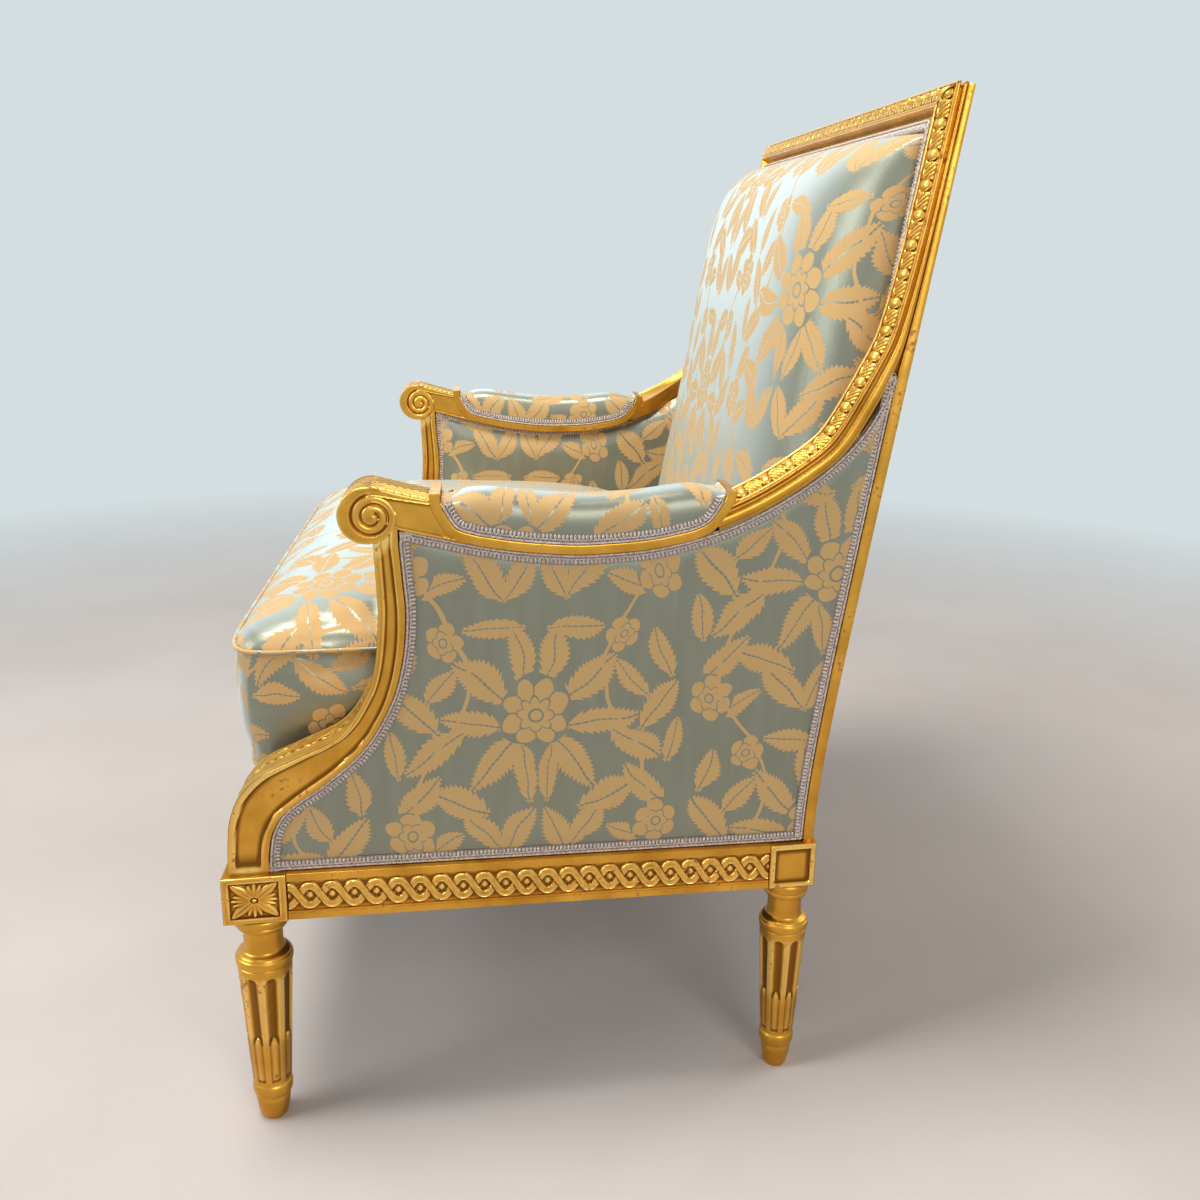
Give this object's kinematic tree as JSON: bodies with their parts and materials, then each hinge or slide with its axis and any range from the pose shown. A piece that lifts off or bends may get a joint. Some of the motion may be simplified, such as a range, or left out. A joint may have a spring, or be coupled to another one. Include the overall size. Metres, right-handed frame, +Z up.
{
  "type": "marquise armchair",
  "caption": "Wide gilded marquise armchair with a raked back, closed upholstered sides, padded scroll arms, fluted legs and a loose seat cushion.",
  "frame": {"origin": "middle of the chair's outline on the floor", "axes": "+X to the sitter's left, +Y from the front to the back, +Z up"},
  "size_m": [0.92, 0.7006, 1.0299],
  "materials": {
    "gilded_wood": "burnished water gilding over red bole, worn at the edges",
    "beech": "plain sawn beech, hidden",
    "lampas": "sage satin with pale gold woven pattern",
    "gimp": "looped silk braid in cream and mauve",
    "jute": "plain woven webbing",
    "hessian": "black bottoming cloth"
  },
  "bodies": {
    "frame": {"front_leg_left": "gilded_wood", "front_leg_right": "gilded_wood", "rear_leg_left": "gilded_wood", "rear_leg_right": "gilded_wood", "front_rail": "gilded_wood", "back_rail": "gilded_wood", "side_rail_left": "gilded_wood", "side_rail_right": "gilded_wood", "corner_brace_front_left": "beech", "corner_brace_front_right": "beech", "corner_brace_rear_left": "beech", "corner_brace_rear_right": "beech", "arm_support_left": "gilded_wood", "arm_support_right": "gilded_wood", "arm_rail_left": "gilded_wood", "arm_rail_right": "gilded_wood", "top_rail": "gilded_wood", "lower_back_rail": "beech", "side_batten_left": "beech", "side_batten_right": "beech", "side_panel_outer_left": "lampas", "side_panel_outer_right": "lampas", "side_panel_inner_left": "lampas", "side_panel_inner_right": "lampas", "side_gimp_outer_left": "gimp", "side_gimp_outer_right": "gimp", "side_gimp_inner_left": "gimp", "side_gimp_inner_right": "gimp", "arm_pad_left": "lampas", "arm_pad_right": "lampas", "arm_gimp_outer_left": "gimp", "arm_gimp_outer_right": "gimp", "arm_gimp_inner_left": "gimp", "arm_gimp_inner_right": "gimp", "back_pad": "lampas", "back_gimp": "gimp", "outside_back": "lampas", "outside_back_gimp": "gimp", "back_webbing": "jute", "seat_webbing": "jute", "seat_platform": "lampas", "dust_cover": "hessian"},
    "cushion": {"seat_cushion": "lampas"}
  },
  "joints": [
    {"name": "cushion_lift", "type": "slide", "parent": "frame", "child": "cushion", "axis": [0, 0, 1], "range_m": [0, 0.35]}
  ]
}
